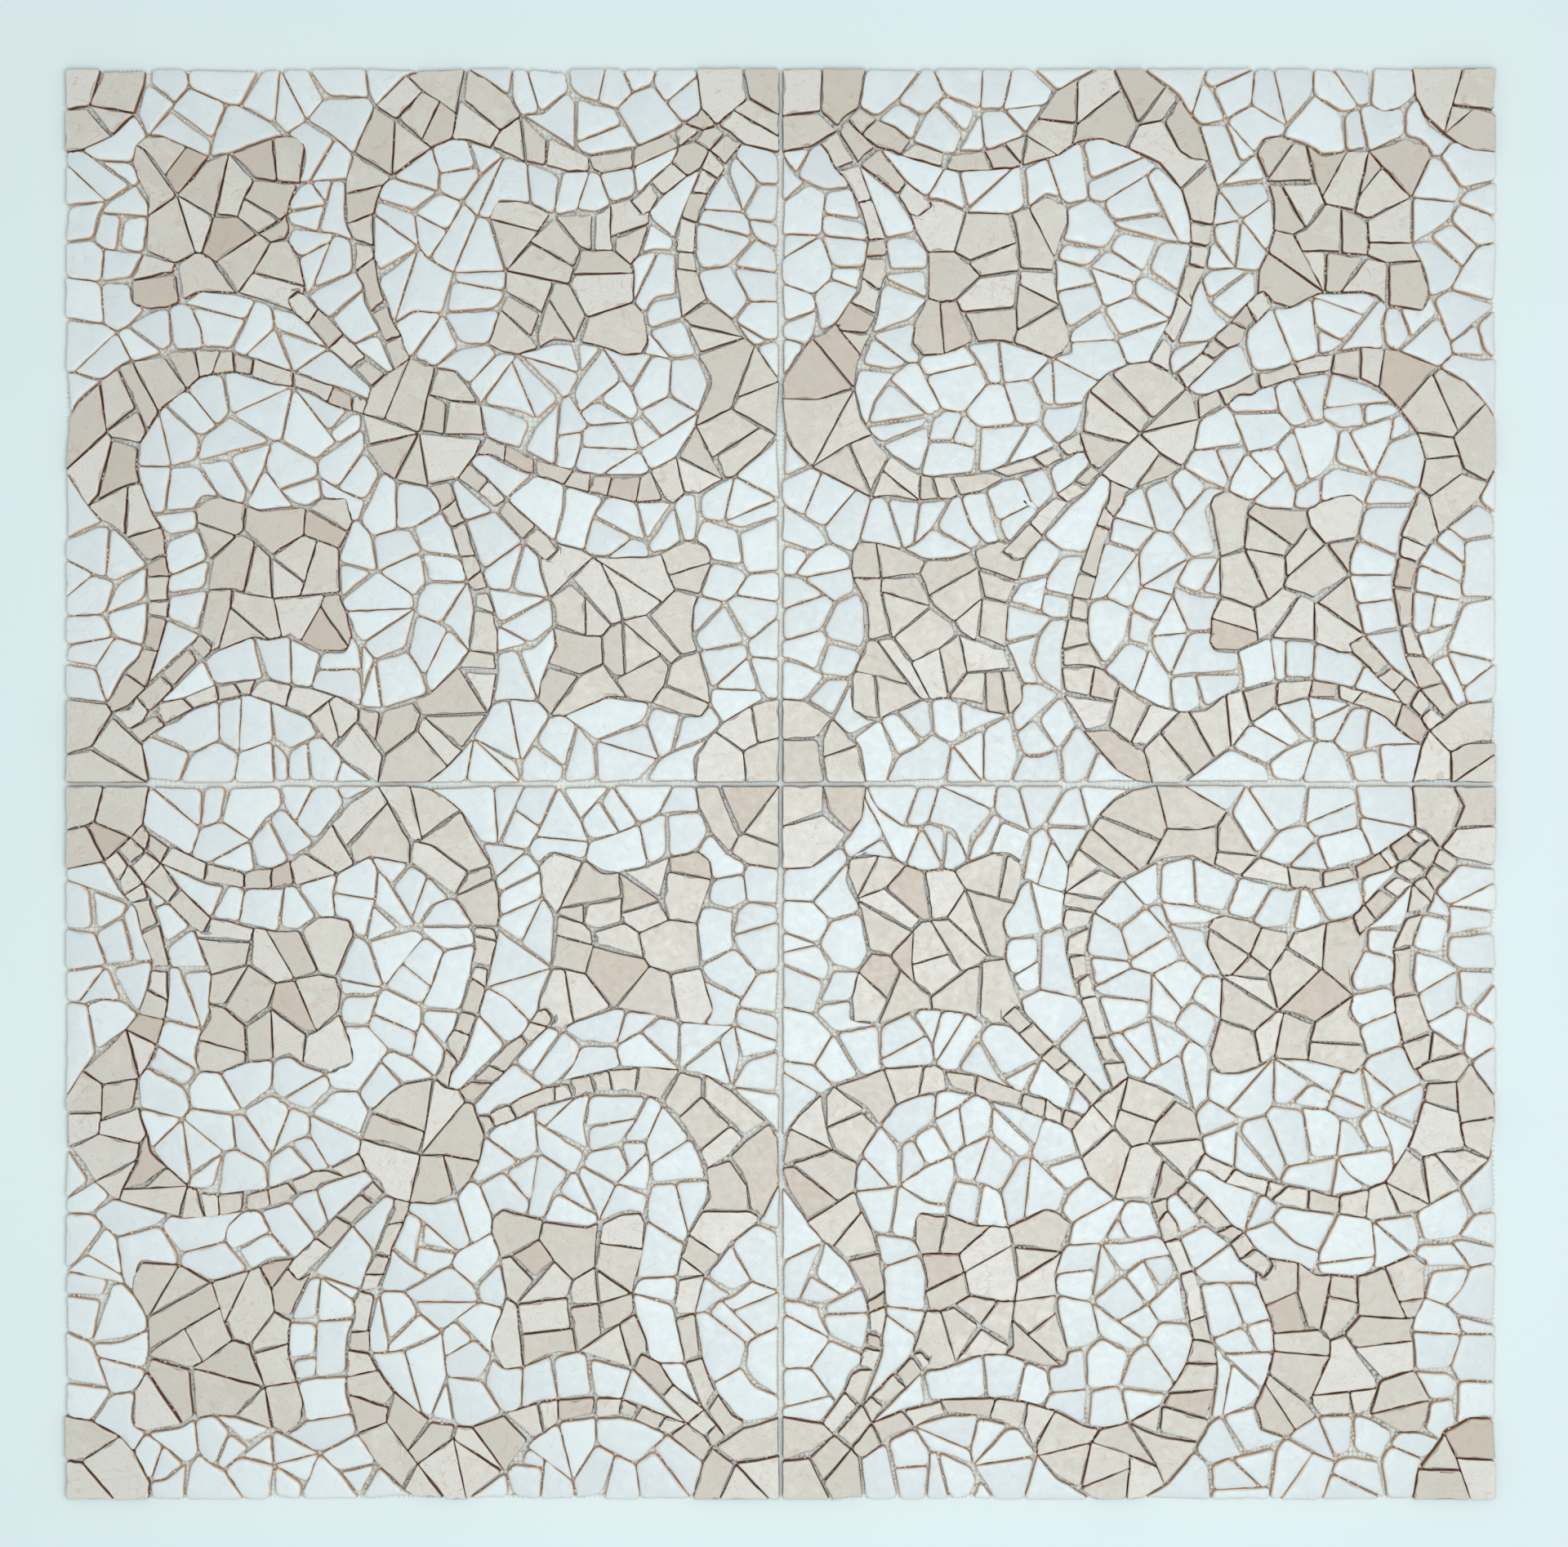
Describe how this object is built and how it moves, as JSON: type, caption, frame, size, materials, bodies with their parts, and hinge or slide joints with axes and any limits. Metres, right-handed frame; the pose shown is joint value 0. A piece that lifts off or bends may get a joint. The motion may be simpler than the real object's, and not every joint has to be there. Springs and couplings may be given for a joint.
{
  "type": "stone mosaic panel",
  "caption": "Square panel of net-backed broken marble mosaic with beige scrolls, flowers and medallions on a white ground.",
  "frame": {"origin": "middle of the panel's underside, on the surface that it lies on", "axes": "+Z up out of the stones' faces, +X to the right and +Y up in the picture"},
  "size_m": [1.1982, 1.1982, 0.0108],
  "materials": {
    "white_marble": "tumbled",
    "beige_marble": "honed",
    "net": "woven fibreglass with adhesive"
  },
  "bodies": {
    "root": {"ne_net": "net", "ne_rosette": "beige_marble", "ne_side_spray": "beige_marble", "ne_end_spray": "beige_marble", "ne_inner_quarter": "beige_marble", "ne_outer_quarter": "beige_marble", "ne_inner_field": "white_marble", "ne_outer_field": "white_marble", "ne_side_field": "white_marble", "ne_end_field": "white_marble", "ne_inner_side_margin": "white_marble", "ne_outer_side_margin": "white_marble", "ne_inner_end_margin": "white_marble", "ne_outer_end_margin": "white_marble", "nw_net": "net", "nw_rosette": "beige_marble", "nw_side_spray": "beige_marble", "nw_end_spray": "beige_marble", "nw_inner_quarter": "beige_marble", "nw_outer_quarter": "beige_marble", "nw_inner_field": "white_marble", "nw_outer_field": "white_marble", "nw_side_field": "white_marble", "nw_end_field": "white_marble", "nw_inner_side_margin": "white_marble", "nw_outer_side_margin": "white_marble", "nw_inner_end_margin": "white_marble", "nw_outer_end_margin": "white_marble", "se_net": "net", "se_rosette": "beige_marble", "se_side_spray": "beige_marble", "se_end_spray": "beige_marble", "se_inner_quarter": "beige_marble", "se_outer_quarter": "beige_marble", "se_inner_field": "white_marble", "se_outer_field": "white_marble", "se_side_field": "white_marble", "se_end_field": "white_marble", "se_inner_side_margin": "white_marble", "se_outer_side_margin": "white_marble", "se_inner_end_margin": "white_marble", "se_outer_end_margin": "white_marble", "sw_net": "net", "sw_rosette": "beige_marble", "sw_side_spray": "beige_marble", "sw_end_spray": "beige_marble", "sw_inner_quarter": "beige_marble", "sw_outer_quarter": "beige_marble", "sw_inner_field": "white_marble", "sw_outer_field": "white_marble", "sw_side_field": "white_marble", "sw_end_field": "white_marble", "sw_inner_side_margin": "white_marble", "sw_outer_side_margin": "white_marble", "sw_inner_end_margin": "white_marble", "sw_outer_end_margin": "white_marble"}
  },
  "joints": []
}
